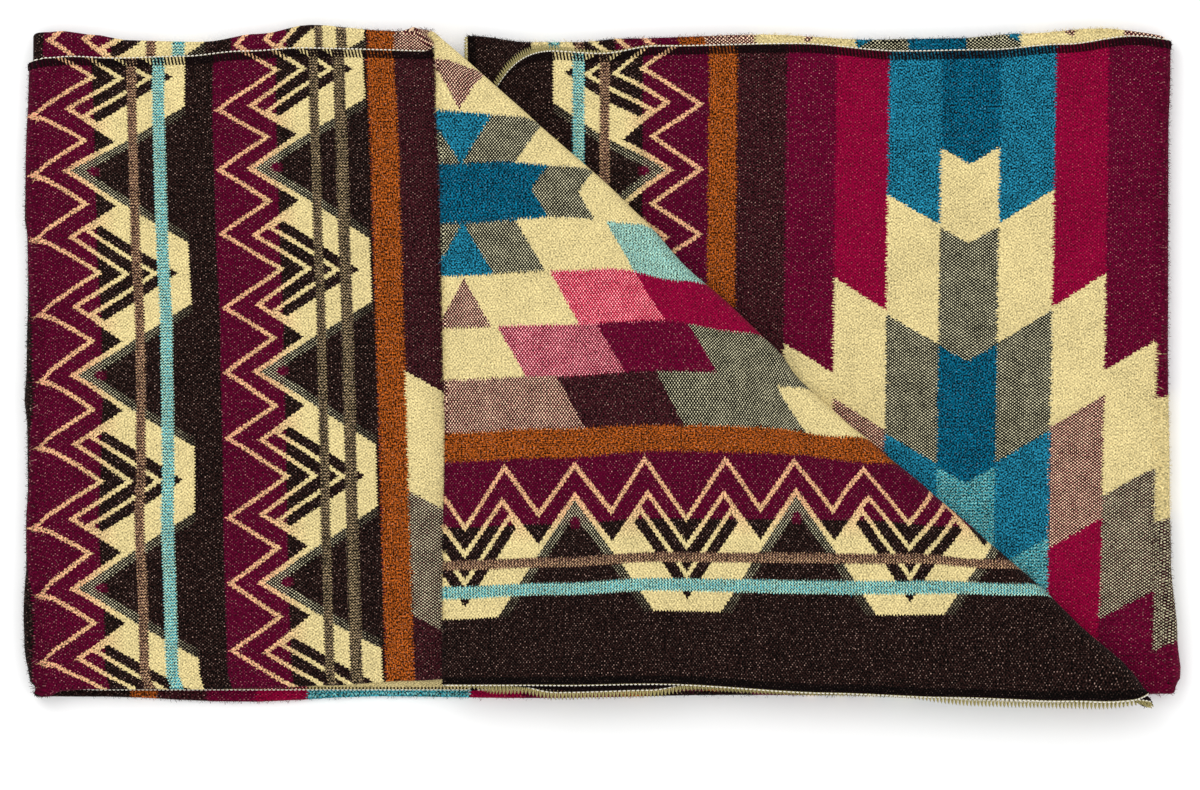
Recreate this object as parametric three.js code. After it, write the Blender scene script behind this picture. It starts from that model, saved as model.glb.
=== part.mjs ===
// Alpaca blanket, folded. Millimetres, +Z up.
// It is one length of cloth. It is folded in thirds across its width, so that a packet of three
// layers lies with the face outside. The packet is folded in three along its length, and the far
// corner of its upper run is turned back over a slanted crease, so that the reverse shows there.
// The origin is on the surface that the blanket lies on, under the middle of the folded packet.
import * as THREE from "three";

// Cloth
const THICKNESS = 2.4;
const PITCH = 3.4;              // from one layer to the next, so a gap of 1 mm stays between them
const LENGTH = 2346;            // from the inner end to the outer end
const THIRD_A = 506;            // from the first side hem to the first width fold
const THIRD_B = 526;            // between the two width folds
const THIRD_C = 565;            // from the second width fold to the other side hem

// Folds
const PACKET = 3 * PITCH;                        // height of the cloth folded in thirds
const WIDTH_TURN = Math.PI * PITCH / 2;          // cloth taken up by a fold across the width
const LENGTH_TURN = Math.PI * PACKET / 2;        // cloth taken up by a fold along the length
const FOLD_REACH = PITCH / 2 + THICKNESS / 2;    // how far a width fold stands past its layers
const PACKET_REACH = PACKET - PITCH / 2 + THICKNESS / 2;

// Lines across the cloth, measured from the first side hem
const END_A = THIRD_A;
const START_B = END_A + WIDTH_TURN;
const END_B = START_B + THIRD_B;
const START_C = END_B + WIDTH_TURN;
const WIDTH = START_C + THIRD_C;

// Lines along the cloth, measured from the inner end
const RIGHT_EDGE = 453;         // outside of the right-hand fold
const LEFT_EDGE = -458;         // outside of the left-hand fold
const INNER_END = -104;         // where the inner end lies
const RIGHT_TURN_X = RIGHT_EDGE - PACKET_REACH;
const LEFT_TURN_X = LEFT_EDGE + PACKET_REACH;
const RIGHT_START = RIGHT_TURN_X - INNER_END;
const UNDER_START = RIGHT_START + LENGTH_TURN;
const LEFT_START = UNDER_START + RIGHT_TURN_X - LEFT_TURN_X;
const UPPER_START = LEFT_START + LENGTH_TURN;

// Where the hems and the width folds lie, in y, at places along the cloth
const EDGES = [
  { along: 0, hemA: 274, foldAB: -236, foldBC: 286, hemC: -234 },
  { along: 64, hemA: 275, foldAB: -236, foldBC: 283, hemC: -234 },
  { along: 104, hemA: 273, foldAB: -236, foldBC: 283, hemC: -235 },
  { along: 150, hemA: 279, foldAB: -237, foldBC: 286, hemC: -235 },
  { along: 260, hemA: 281, foldAB: -237, foldBC: 289, hemC: -236 },
  { along: 345, hemA: 275, foldAB: -237, foldBC: 285, hemC: -236 },
  { along: 410, hemA: 277, foldAB: -237, foldBC: 285, hemC: -236 },
  { along: 472, hemA: 278, foldAB: -237, foldBC: 286, hemC: -236 },
  { along: 530, hemA: 282, foldAB: -238, foldBC: 290, hemC: -236 },
  { along: 1000, hemA: 276, foldAB: -241, foldBC: 284, hemC: -238 },
  { along: 1480, hemA: 267, foldAB: -236, foldBC: 292, hemC: -234 },
  { along: 1530, hemA: 270, foldAB: -236, foldBC: 287, hemC: -234 },
  { along: 1590, hemA: 267, foldAB: -236, foldBC: 283, hemC: -234 },
  { along: 1690, hemA: 272, foldAB: -233, foldBC: 295, hemC: -232 },
  { along: 1790, hemA: 271, foldAB: -227, foldBC: 291, hemC: -229 },
  { along: 2346, hemA: 271, foldAB: -236, foldBC: 291, hemC: -236 },
];

// How far the cloth has slipped along its length at each hem and fold
const SLIPS = [
  { along: 0, hemA: 0, foldAB: 0, foldBC: -2, hemC: 0 },
  { along: 88, hemA: 0, foldAB: 0, foldBC: -20, hemC: 0 },
  { along: 200, hemA: 0, foldAB: 0, foldBC: -25, hemC: 0 },
  { along: 620, hemA: 0, foldAB: 0, foldBC: -25, hemC: 0 },
  { along: 1440, hemA: -4, foldAB: 4, foldBC: 10, hemC: 4 },
  { along: 1580, hemA: -6, foldAB: 9, foldBC: 10, hemC: 8 },
  { along: 1751, hemA: -6, foldAB: 9, foldBC: -5, hemC: 12 },
  { along: 1816, hemA: -6, foldAB: 9, foldBC: -11, hemC: 16 },
  { along: 2346, hemA: -6, foldAB: 9, foldBC: -11, hemC: 16 },
];

// The corner of the inner end is drawn in and round
const CORNER = { reachAlong: 48, reachAcross: 34, inward: 26, down: 9 };

// Slanted crease of the turned corner, from its upper end
const CREASE_START = { x: -147, y: 292 };
const CREASE_ANGLE = THREE.MathUtils.degToRad(-42.9);
const CREASE_ALONG = { x: Math.cos(CREASE_ANGLE), y: Math.sin(CREASE_ANGLE) };
const CREASE_OUT = { x: -CREASE_ALONG.y, y: CREASE_ALONG.x };
const CREASE_TURN = 29;         // cloth taken up by the crease
// The turned corner: where three points of the packet come to lie
const TURNED = {
  top: { from: { x: -119, y: 292 }, to: { x: -130, y: 292 } },
  corner: { from: { x: 416, y: 292 }, to: { x: -127, y: -231 } },
  end: { from: { x: 443, y: -234 }, to: { x: 440, y: -238 } },
};
// How far the crease strays outward along its length, straight from row to row
const CREASE_WAVE = [
  { along: 0, outward: 0 },
  { along: 230, outward: 2.5 },
  { along: 370, outward: -8 },
  { along: 500, outward: -2 },
  { along: 610, outward: -6 },
  { along: 700, outward: 3.5 },
  { along: 784, outward: 0 },
];
const CREASE_WAVE_REACH = 55;

// The upper run climbs over the inner end of the run below it
const RAMP = [
  { x: -165, lift: 0 },
  { x: -153, lift: 1.2 },
  { x: -126, lift: 9.0 },
  { x: -114, lift: PACKET },
];

// The two side folds lean: how far each strays in x at the near edge, growing from a place in y
const RIGHT_STRAY = { from: 60, grow: 300, outward: 11 };
const LEFT_STRAY = { from: 130, grow: 370, outward: 5 };
const STRAY_REACH = 120;        // how far in from a side fold the cloth still strays

// Soft rises and hollows of the stack, in mm at its top
const RISES = [
  { x: -350, y: 120, reach: 110, rise: 2.5 },
  { x: -230, y: -90, reach: 120, rise: -2 },
  { x: -20, y: -120, reach: 130, rise: 2 },
  { x: 170, y: -170, reach: 110, rise: -1.5 },
  { x: 120, y: 190, reach: 130, rise: 2.5 },
  { x: 340, y: 40, reach: 120, rise: -2 },
  { x: 430, y: -190, reach: 90, rise: 2.5 },
];
const STACK_HEIGHT = 4 * PACKET;

// Net of facets
const TURN_STEPS = { width: 4, length: 6, crease: 8 };
const ACROSS_STEPS = 5;
const UNDER_STEP = 225;         // first cut of the run underneath, in from either fold
const OUTER_STEP = 139;         // cuts of the outer end, which the turned corner takes in
const SNAP = 0.4;               // a corner this near to a cut counts as on it

const mix = (from, to, part) => from + (to - from) * part;

// Value of a column of a table at a place, eased or straight from row to row
function read(table, key, column, at, ease = true) {
  if (at <= table[0][key]) return table[0][column];
  const next = table.findIndex((row) => row[key] >= at);
  if (next < 0) return table[table.length - 1][column];
  const before = table[next - 1];
  const after = table[next];
  const part = (at - before[key]) / (after[key] - before[key]);
  return mix(before[column], after[column], ease ? (1 - Math.cos(Math.PI * part)) / 2 : part);
}

// The cloth folded in thirds: y, height in the packet and slip along the length
function foldThirds(along, across, lift) {
  const y = (name) => read(EDGES, "along", name, along);
  const slip = (name) => read(SLIPS, "along", name, along);
  const lowEnd = y("foldAB") + FOLD_REACH;
  const highEnd = y("foldBC") - FOLD_REACH;
  if (across <= END_A) {
    const part = across / THIRD_A;
    return { y: mix(y("hemA"), lowEnd, part), height: 2.5 * PITCH + lift,
      slip: mix(slip("hemA"), slip("foldAB"), part) };
  }
  if (across <= START_B) {
    const angle = Math.PI * (across - END_A) / WIDTH_TURN;
    const radius = PITCH / 2 + lift;
    return { y: lowEnd - radius * Math.sin(angle), height: 2 * PITCH + radius * Math.cos(angle),
      slip: slip("foldAB") };
  }
  if (across <= END_B) {
    const part = (across - START_B) / THIRD_B;
    return { y: mix(lowEnd, highEnd, part), height: 1.5 * PITCH - lift,
      slip: mix(slip("foldAB"), slip("foldBC"), part) };
  }
  if (across <= START_C) {
    const angle = Math.PI * (across - END_B) / WIDTH_TURN;
    const radius = PITCH / 2 - lift;
    return { y: highEnd + radius * Math.sin(angle), height: PITCH + radius * Math.cos(angle),
      slip: slip("foldBC") };
  }
  const part = (across - START_C) / THIRD_C;
  return { y: mix(highEnd, y("hemC"), part), height: 0.5 * PITCH + lift,
    slip: mix(slip("foldBC"), slip("hemC"), part) };
}

// The packet folded in three along its length
function foldLength(path, height) {
  if (path <= RIGHT_START) return { x: INNER_END + path, z: PACKET + height };
  if (path <= UNDER_START) {
    const angle = Math.PI * (path - RIGHT_START) / LENGTH_TURN;
    return { x: RIGHT_TURN_X + height * Math.sin(angle), z: PACKET + height * Math.cos(angle) };
  }
  if (path <= LEFT_START) return { x: RIGHT_TURN_X - (path - UNDER_START), z: PACKET - height };
  if (path <= UPPER_START) {
    const angle = Math.PI * (path - LEFT_START) / LENGTH_TURN;
    return { x: LEFT_TURN_X - height * Math.sin(angle), z: PACKET - height * Math.cos(angle) };
  }
  return { x: LEFT_TURN_X + path - UPPER_START, z: PACKET + height };
}

// Distances of a place from the crease: along it and outward past it
function fromCrease(x, y) {
  const dx = x - CREASE_START.x;
  const dy = y - CREASE_START.y;
  return { along: dx * CREASE_ALONG.x + dy * CREASE_ALONG.y,
    out: dx * CREASE_OUT.x + dy * CREASE_OUT.y };
}

// Where a place of the packet lies once the corner is turned back
const TURNED_MAP = (() => {
  const { top, corner, end } = TURNED;
  const alongX = corner.from.x - top.from.x;
  const perX = { x: (corner.to.x - top.to.x) / alongX, y: (corner.to.y - top.to.y) / alongX };
  const restX = end.from.x - corner.from.x;
  const restY = end.from.y - corner.from.y;
  const perY = { x: (end.to.x - corner.to.x - restX * perX.x) / restY,
    y: (end.to.y - corner.to.y - restX * perX.y) / restY };
  return { perX, perY };
})();

function turnedPlace(x, y) {
  const { perX, perY } = TURNED_MAP;
  const dx = x - TURNED.top.from.x;
  const dy = y - TURNED.top.from.y;
  return { x: TURNED.top.to.x + dx * perX.x + dy * perY.x,
    y: TURNED.top.to.y + dx * perX.y + dy * perY.y };
}

// The upper run, with its far corner turned back over the crease
function turnCorner(x, y, height) {
  const place = fromCrease(x, y);
  let plan = { x, y };
  let level = height;
  if (place.out >= CREASE_TURN) {
    plan = turnedPlace(x, y);
    level = 2 * PACKET - height;
  } else if (place.out > 0) {
    const part = place.out / CREASE_TURN;
    const radius = PACKET - height;
    const start = { x: x - CREASE_OUT.x * place.out, y: y - CREASE_OUT.y * place.out };
    const finish = turnedPlace(start.x + CREASE_OUT.x * CREASE_TURN,
      start.y + CREASE_OUT.y * CREASE_TURN);
    const reach = radius * Math.sin(Math.PI * part);
    plan = { x: mix(start.x, finish.x, part) + CREASE_OUT.x * reach,
      y: mix(start.y, finish.y, part) + CREASE_OUT.y * reach };
    level = PACKET - radius * Math.cos(Math.PI * part);
  }
  const near = fromCrease(plan.x, plan.y);
  const wave = read(CREASE_WAVE, "along", "outward", near.along, false)
    * Math.exp(-((near.out / CREASE_WAVE_REACH) ** 2));
  return { x: plan.x + CREASE_OUT.x * wave, y: plan.y + CREASE_OUT.y * wave, level };
}

// Height that the upper run gains over the inner end
const rampLift = (x) => read(RAMP, "x", "lift", x, false);

// How far a side fold strays at a distance from it and at a place in y
function stray({ from, grow, outward }, distance, y) {
  const part = Math.min(1, Math.max(0, 1 - distance / STRAY_REACH));
  const weight = part * part * (3 - 2 * part);
  return weight * outward * (Math.max(0, from - y) / grow) ** 2;
}

// The drawn-in corner of the inner end, on the first third only
function cornerPull(along, across) {
  if (along >= CORNER.reachAlong || across > END_A) return { x: 0, y: 0 };
  const part = (1 - along / CORNER.reachAlong) ** 2;
  const fade = Math.exp(-((across / CORNER.reachAcross) ** 2));
  return { x: CORNER.inward * part * fade, y: -CORNER.down * part * fade };
}

// A point of the cloth, by its place on the flat length and its height above the middle of it
function place(along, across, lift) {
  const third = foldThirds(along, across, lift);
  const path = along + third.slip;
  const run = foldLength(path, third.height);
  const pull = cornerPull(along, across);
  let x = run.x + pull.x;
  let y = third.y + pull.y;
  let z = run.z;
  if (path > UPPER_START) {
    const turned = turnCorner(x, y, third.height);
    x = turned.x;
    y = turned.y;
    z = PACKET + turned.level + rampLift(x);
  }
  x += stray(RIGHT_STRAY, RIGHT_EDGE - x, y) + stray(LEFT_STRAY, x - LEFT_EDGE, y);
  const ground = (PITCH - THICKNESS) / 2;
  const rise = RISES.reduce((sum, hump) => {
    const distance = Math.hypot(x - hump.x, y - hump.y) / hump.reach;
    return sum + hump.rise * Math.exp(-(distance ** 2));
  }, 0);
  z -= ground;
  return [x, y, z * (1 + rise / STACK_HEIGHT)];
}

// Fields that the flat cloth is cut along
const pathOf = (point) => point.along + foldThirds(point.along, point.across, 0).slip;

function outOf(point) {
  const path = pathOf(point);
  if (path <= UPPER_START) return -LENGTH;
  const third = foldThirds(point.along, point.across, 0);
  return fromCrease(foldLength(path, third.height).x, third.y).out;
}

const alongCreaseOf = (point) => {
  if (pathOf(point) <= UPPER_START) return -LENGTH;
  const [x, y] = place(point.along, point.across, 0);
  return fromCrease(x, y).along;
};

const xOf = (point) => (pathOf(point) <= UPPER_START ? -LENGTH
  : place(point.along, point.across, 0)[0]);

// The flat cloth as a net of convex faces, cut line by line
class Net {
  constructor(corners) {
    this.points = corners;
    this.faces = [corners.map((_, index) => index)];
  }

  crossing(a, b, field, level) {
    let low = this.points[a];
    let high = this.points[b];
    let middle = low;
    for (let step = 0; step < 24; step += 1) {
      middle = { along: mix(low.along, high.along, 0.5), across: mix(low.across, high.across, 0.5) };
      if ((field(middle) < level) === (field(low) < level)) low = middle;
      else high = middle;
    }
    return middle;
  }

  cut(field, level) {
    const sides = this.points.map((point) => {
      const distance = field(point) - level;
      return Math.abs(distance) < SNAP ? 0 : Math.sign(distance);
    });
    const crossings = new Map();
    const faces = [];
    for (const face of this.faces) {
      const ring = [];
      face.forEach((a, index) => {
        const b = face[(index + 1) % face.length];
        ring.push({ id: a, side: sides[a] });
        if (sides[a] * sides[b] >= 0) return;
        const key = a < b ? `${a} ${b}` : `${b} ${a}`;
        if (!crossings.has(key)) {
          crossings.set(key, this.points.length);
          this.points.push(this.crossing(Math.min(a, b), Math.max(a, b), field, level));
        }
        ring.push({ id: crossings.get(key), side: 0 });
      });
      const above = ring.filter((corner) => corner.side >= 0).map((corner) => corner.id);
      const below = ring.filter((corner) => corner.side <= 0).map((corner) => corner.id);
      const split = ring.some((corner) => corner.side > 0) && ring.some((corner) => corner.side < 0);
      if (split) faces.push(above, below);
      else faces.push(face);
    }
    this.faces = faces;
  }
}

// Levels between two ends, with both ends
function levels(from, to, count) {
  return Array.from({ length: count + 1 }, (_, index) => mix(from, to, index / count));
}

function clothNet() {
  const net = new Net([
    { along: 0, across: 0 },
    { along: LENGTH, across: 0 },
    { along: LENGTH, across: WIDTH },
    { along: 0, across: WIDTH },
  ]);
  const acrossOf = (point) => point.across;
  const alongOf = (point) => point.along;
  for (const level of [
    ...levels(0, END_A, ACROSS_STEPS).slice(1),
    ...levels(END_A, START_B, TURN_STEPS.width).slice(1),
    ...levels(START_B, END_B, ACROSS_STEPS).slice(1),
    ...levels(END_B, START_C, TURN_STEPS.width).slice(1),
    ...levels(START_C, WIDTH, ACROSS_STEPS).slice(1, -1),
  ]) net.cut(acrossOf, level);
  for (const row of EDGES.slice(1, -1)) net.cut(alongOf, row.along);
  for (const level of [
    ...levels(RIGHT_START, UNDER_START, TURN_STEPS.length),
    UNDER_START + UNDER_STEP,
    LEFT_START - UNDER_STEP,
    ...levels(LEFT_START, UPPER_START, TURN_STEPS.length),
    LENGTH - 3 * OUTER_STEP,
    LENGTH - 2 * OUTER_STEP,
    LENGTH - OUTER_STEP,
  ]) net.cut(pathOf, level);
  for (const level of levels(0, CREASE_TURN, TURN_STEPS.crease)) net.cut(outOf, level);
  for (const row of RAMP) net.cut(xOf, row.x);
  for (const row of CREASE_WAVE.slice(1, -1)) net.cut(alongCreaseOf, row.along);
  return net;
}

// The folded cloth as one closed solid: face, reverse and cut edges
function blanketGeometry() {
  const { points, faces } = clothNet();
  const half = THICKNESS / 2;
  const positions = [half, -half].flatMap((lift) =>
    points.flatMap((point) => place(point.along, point.across, lift)));
  const reverse = points.length;
  const triangles = [];
  const edges = new Map();
  for (const face of faces) {
    for (let step = 1; step < face.length - 1; step += 1) {
      const [a, b, c] = [face[0], face[step], face[step + 1]];
      triangles.push(a, c, b, a + reverse, b + reverse, c + reverse);
    }
    face.forEach((a, index) => {
      const b = face[(index + 1) % face.length];
      if (edges.has(`${b} ${a}`)) edges.delete(`${b} ${a}`);
      else edges.set(`${a} ${b}`, [a, b]);
    });
  }
  for (const [a, b] of edges.values()) {
    triangles.push(a, b, b + reverse, a, b + reverse, a + reverse);
  }
  const geometry = new THREE.BufferGeometry();
  geometry.setAttribute("position", new THREE.Float32BufferAttribute(positions, 3));
  geometry.setIndex(triangles);
  geometry.computeBoundingBox();
  const middle = geometry.boundingBox.getCenter(new THREE.Vector3());
  geometry.translate(-middle.x, -middle.y, -geometry.boundingBox.min.z);
  geometry.computeVertexNormals();
  return geometry;
}

const brushedAlpaca = new THREE.MeshStandardMaterial({
  color: 0x6b3a3a,
  roughness: 0.95,
  metalness: 0,
});

const blanket = new THREE.Mesh(blanketGeometry(), brushedAlpaca);
blanket.name = "blanket";

const foldedBlanket = new THREE.Group();
foldedBlanket.add(blanket);

export default foldedBlanket;
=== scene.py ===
"""Folded alpaca blanket.

The cloth is made flat, as a thin slab with x along its length, y across its width and z up from its
middle. Its hems' stitches and its loose fibres are made flat in the same way. One map then folds
them all: in thirds across, in three along, and back over a slanted crease at one corner.
"""
import math
import random

import bmesh
import bpy
from bpy.props import FloatProperty, FloatVectorProperty, IntProperty, PointerProperty
from mathutils import Matrix, Vector, noise


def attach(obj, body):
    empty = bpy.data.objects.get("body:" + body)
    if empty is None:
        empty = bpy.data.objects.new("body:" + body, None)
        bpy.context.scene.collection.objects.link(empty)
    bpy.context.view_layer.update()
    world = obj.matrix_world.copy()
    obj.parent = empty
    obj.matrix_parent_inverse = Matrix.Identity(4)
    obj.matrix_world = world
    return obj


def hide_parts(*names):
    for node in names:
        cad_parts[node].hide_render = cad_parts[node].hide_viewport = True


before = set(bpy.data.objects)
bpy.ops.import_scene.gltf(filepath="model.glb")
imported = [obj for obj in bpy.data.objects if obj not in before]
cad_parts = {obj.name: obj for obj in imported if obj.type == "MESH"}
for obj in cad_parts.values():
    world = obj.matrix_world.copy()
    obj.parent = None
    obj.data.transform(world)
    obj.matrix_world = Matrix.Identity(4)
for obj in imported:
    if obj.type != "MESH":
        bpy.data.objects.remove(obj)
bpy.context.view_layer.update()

bl_info = {
    "name": "Folded Alpaca Blanket",
    "version": (1, 0, 0),
    "blender": (4, 5, 0),
    "location": "View3D > Sidebar > Blanket",
    "description": "Makes a folded, brushed alpaca blanket with woven bands and overlocked hems",
    "category": "Object",
}

NODE = "blanket"
MM = 0.001

# Sizes of the cloth and its folds, in millimetres
PITCH = 3.4
LENGTH = 2346.0
THIRD_A = 506.0
THIRD_B = 526.0
THIRD_C = 565.0
SOLID_THICKNESS = 2.4
PACKET = 3 * PITCH
WIDTH_TURN = math.pi * PITCH / 2
LENGTH_TURN = math.pi * PACKET / 2
FOLD_REACH = PITCH / 2 + SOLID_THICKNESS / 2
PACKET_REACH = PACKET - PITCH / 2 + SOLID_THICKNESS / 2

END_A = THIRD_A
START_B = END_A + WIDTH_TURN
END_B = START_B + THIRD_B
START_C = END_B + WIDTH_TURN
WIDTH = START_C + THIRD_C

RIGHT_EDGE = 453.0
LEFT_EDGE = -458.0
INNER_END = -104.0
RIGHT_TURN_X = RIGHT_EDGE - PACKET_REACH
LEFT_TURN_X = LEFT_EDGE + PACKET_REACH
RIGHT_START = RIGHT_TURN_X - INNER_END
UNDER_START = RIGHT_START + LENGTH_TURN
LEFT_START = UNDER_START + RIGHT_TURN_X - LEFT_TURN_X
UPPER_START = LEFT_START + LENGTH_TURN

# Middle of the folded blanket in the plan that the tables below are measured in
MIDDLE = Vector((2.8, 26.4))


def table(columns, *rows):
    """Rows of a table as dictionaries with named columns."""
    names = columns.split()
    return [dict(zip(names, row)) for row in rows]


# Where the hems and the width folds lie, in y, at places along the cloth
EDGES = table(
    "along hem_a fold_ab fold_bc hem_c",
    (0, 274, -236, 288, -230),
    (64, 275, -236, 283, -230),
    (104, 273, -236, 283, -231),
    (150, 279, -237, 286, -231),
    (260, 281, -237, 289, -232),
    (345, 275, -237, 285, -232),
    (410, 276, -237, 286, -232),
    (472, 280.5, -237, 290, -232),
    (530, 287, -239, 294, -234),
    (620, 272, -241, 284, -236),
    (900, 270, -241, 278, -236),
    (1060, 262, -243.5, 266, -236),
    (1180, 262, -242, 266, -236),
    (1290, 268, -246.5, 276, -236),
    (1400, 266, -242.5, 280, -236),
    (1465, 266, -242, 291, -234),
    (1480, 269.5, -237, 292, -232),
    (1500, 270.7, -236, 289, -231),
    (1535, 269.3, -236, 284.3, -230),
    (1590, 270.8, -236, 283.3, -230),
    (1640, 275, -235, 290, -228),
    (1690, 278, -233, 298, -226),
    (1760, 278, -229, 294.5, -220),
    (1795, 277, -227, 294.5, -220),
    (1900, 271, -230, 291, -228),
    (2346, 271, -236, 291, -236),
)

# How far the cloth has slipped along its length at each hem and fold
SLIPS = table(
    "along hem_a fold_ab fold_bc hem_c",
    (0, 0, 0, -2, 0),
    (88, 0, 0, -20, 0),
    (200, 0, -5, -25, 0),
    (345, 1.5, -5, -25, 0),
    (480, 4, -5, -25, 0),
    (620, 0, 0, -25, 0),
    (1440, -4, 4, 10, 4),
    (1580, -6, 9, 10, 8),
    (1751, -6, 9, -5, 12),
    (1816, -6, 9, -11, 16),
    (2346, -6, 9, -11, 16),
)

# How far the cloth of the upper run has slipped across its width: beside the left-hand fold, at
# the second band, and beside the turned corner
LEADS = table(
    "across near far side",
    (0, 0.0, 0.0, 0.0),
    (50, -2.8, -0.8, -1.0),
    (100, -6.3, -4.0, -1.0),
    (150, -6.1, -4.2, 0.0),
    (210, -5.3, -4.3, 2.0),
    (261, -3.6, -4.1, 3.0),
    (312, -1.4, -2.6, 3.0),
    (371, 3.4, 1.4, 3.0),
    (422, 6.1, 2.9, 3.0),
    (473, 9.0, 5.3, 3.0),
    (530, 9.8, 7.2, 3.0),
    (1000, 10.0, 10.0, 0.0),
    (1060, 10.0, 10.0, 0.0),
    (1300, 0.0, 0.0, 0.0),
)
LEAD_PLACES = table(
    "along near far side",
    (1380, 0, 0, 0),
    (1466, 1, 0, 0),
    (1620, 0, 1, 0),
    (1790, 0, 0, 1),
    (1860, 0, 0, 0),
)

# How far the same cloth has slipped along its length, on the third that shows
DRIFTS = table(
    "across near far side",
    (0, 0.0, 0.0, 0.0),
    (48, 1.1, -1.8, 0.0),
    (99, 0.6, -1.6, 0.0),
    (150, 1.3, -1.8, 0.0),
    (210, 3.5, -0.6, 0.0),
    (264, 2.6, -1.4, 0.0),
    (317, -0.6, -1.6, 0.0),
    (381, -6.2, -2.9, 0.0),
    (435, -4.0, -2.9, 0.0),
    (488, -4.8, -2.9, 0.0),
    (530, -4.0, -2.0, 0.0),
)

# Corners of the flat cloth are sewn round: the one that shows on top, and the others
SHOWN_CORNER = 66.0
OTHER_CORNER = 22.0
CORNER_ALONG = 70.0
CORNER_ACROSS = 60.0
CORNER_IN = 17.0

# The hems of the lower layers peep out under the turned corner's hem
END_SAG = table(
    "across reach",
    (425, 0), (470, 5), (510, 6), (640, 6.5), (705, 0), (846, 0), (885, 7), (955, 7), (992, 0),
)
END_SAG_ALONG = 110.0

# Slanted crease of the turned corner
CREASE_START = Vector((-147.0, 292.0))
CREASE_ANGLE = math.radians(-42.9)
CREASE_ALONG = Vector((math.cos(CREASE_ANGLE), math.sin(CREASE_ANGLE)))
CREASE_OUT = Vector((-CREASE_ALONG.y, CREASE_ALONG.x))
CREASE_TURN = 29.0
TURNED_TOP = (Vector((-119.0, 292.0)), Vector((-130.0, 292.0)))
TURNED_CORNER = (Vector((416.0, 292.0)), Vector((-127.0, -231.0)))
TURNED_END = (Vector((443.0, -234.0)), Vector((440.0, -238.0)))
CREASE_WAVE = table(
    "along outward",
    (0, -3.5),
    (70, 0.2),
    (120, 1.4),
    (200, 3.8),
    (235, 3.0),
    (290, -1.8),
    (330, 0.0),
    (385, -0.5),
    (416, -6.0),
    (460, -5.4),
    (500, -3.0),
    (545, 0.0),
    (600, 2.2),
    (672, 4.8),
    (730, 2.2),
    (785, -1.0),
)
CREASE_WAVE_REACH = 55.0

# The upper run climbs over the inner end of the run below it
RAMP_START = -165.0
RAMP_END = -114.0

# How far the two side folds stand out at places in y, with the cloth drawn round them
RIGHT_SIDE = table(
    "y outward",
    (-238, 8.5), (-224, 13.3), (-196, 10.5), (-132, 5.3), (-76, 4.1), (40, 2.9), (132, 3.3),
    (196, 3.3), (280, 4.9),
)
LEFT_SIDE = table(
    "y outward",
    (-238, 1.5), (-226, 5.0), (-203, 8.0), (-176, 8.1), (-130, 5.0), (-108, 4.8), (-67, 2.5),
    (-26, 2.6), (-4, 4.4), (25, 2.5), (86, 1.2), (129, 1.7), (140, 3.7), (178, 3.2), (266, 0.3),
)
SIDE_REACH = 90.0

# Beside the left-hand fold the cloth leans in, from a place in y towards the near edge
LEAN_START = 130.0
LEAN_GROW = 370.0
LEAN = 5.0
LEAN_REACH = 120.0

# How far the turned corner's cloth is drawn in y, at places in x, row by row
DRAWN_X = (-126, -36, 48, 184, 280, 360, 432)
DRAWN = (
    (-236, (-0.4, 0.4, 2.4, -3.2, -5.6, -7.7, -6.4)),
    (-174, (-6.1, -0.8, 3.2, 1.6, 2.4, 0.0, -2.0)),
    (-132, (-4.4, -0.8, 4.8, 5.4, 5.4, 4.0, 2.0)),
    (-49, (-5.5, -1.0, 5.6, 6.4, 6.4, 6.0, 6.0)),
    (-26, (-4.6, 0.0, 3.6, 6.4, 6.4, 6.0, 6.0)),
    (14, (-1.6, 2.4, 7.8, 7.2, 7.0, 7.0, 7.0)),
    (54, (0.0, 4.0, 9.1, 9.1, 9.0, 9.0, 9.0)),
    (96, (0.0, 5.1, 9.2, 9.2, 9.0, 9.0, 9.0)),
    (138, (0.0, 5.1, 8.4, 8.4, 8.0, 8.0, 8.0)),
    (186, (2.4, 6.9, 7.2, 7.2, 7.0, 7.0, 7.0)),
    (228, (2.9, 4.0, 4.8, 4.8, 4.8, 4.8, 4.8)),
    (268, (4.0, 4.8, 4.8, 4.8, 4.8, 4.8, 4.8)),
)
DRAWN_REACH = 45.0

# At its top end the turned cloth is pushed up, and beside its tip the hem hangs down
TOP_RISE = 6.5
TOP_REACH = 40.0
TOP_START = 200.0
TOP_END = 262.0
TOP_PAST = 8.0
TOP_FADE = 14.0
TIP_X = 408.0
TIP_REACH = 30.0
TIP_DROP = 6.0
TIP_START = -210.0
TIP_GROW = 24.0
FLAP_EDGE = table(
    "y inward",
    (-236, 0.0), (-130, 0.8), (-28, 3.0), (50, 1.8), (150, 0.4), (225, -2.0), (255, 0.0),
    (290, 2.0),
)
FLAP_EDGE_REACH = 60.0

# Soft rises and hollows of the stack, at its top
STACK_HEIGHT = 4 * PACKET
RISES = table(
    "x y reach rise",
    (-350, 120, 110, 2.5),
    (-230, -90, 120, -2.0),
    (-20, -120, 130, 2.0),
    (170, -170, 110, -1.5),
    (120, 190, 130, 2.5),
    (340, 40, 120, -2.0),
    (430, -190, 90, 2.5),
)

# Creases of the cloth: middle, direction in degrees, half length, half width and height
CREASES = table(
    "x y turn length width height",
    (-300, 210, 75, 120, 16, 1.0),
    (-395, -60, 85, 190, 14, -0.8),
    (-170, 30, 88, 240, 12, 1.2),
    (-60, -60, 30, 110, 18, 0.9),
    (60, -150, -12, 150, 16, -0.8),
    (200, -215, 4, 170, 10, 0.9),
    (250, 170, 82, 130, 18, 0.9),
    (330, 20, 80, 190, 15, -0.9),
    (410, 90, 92, 160, 12, 1.0),
)


def mix(start, end, part):
    """The value a part of the way from start to end."""
    return start + (end - start) * part


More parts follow.
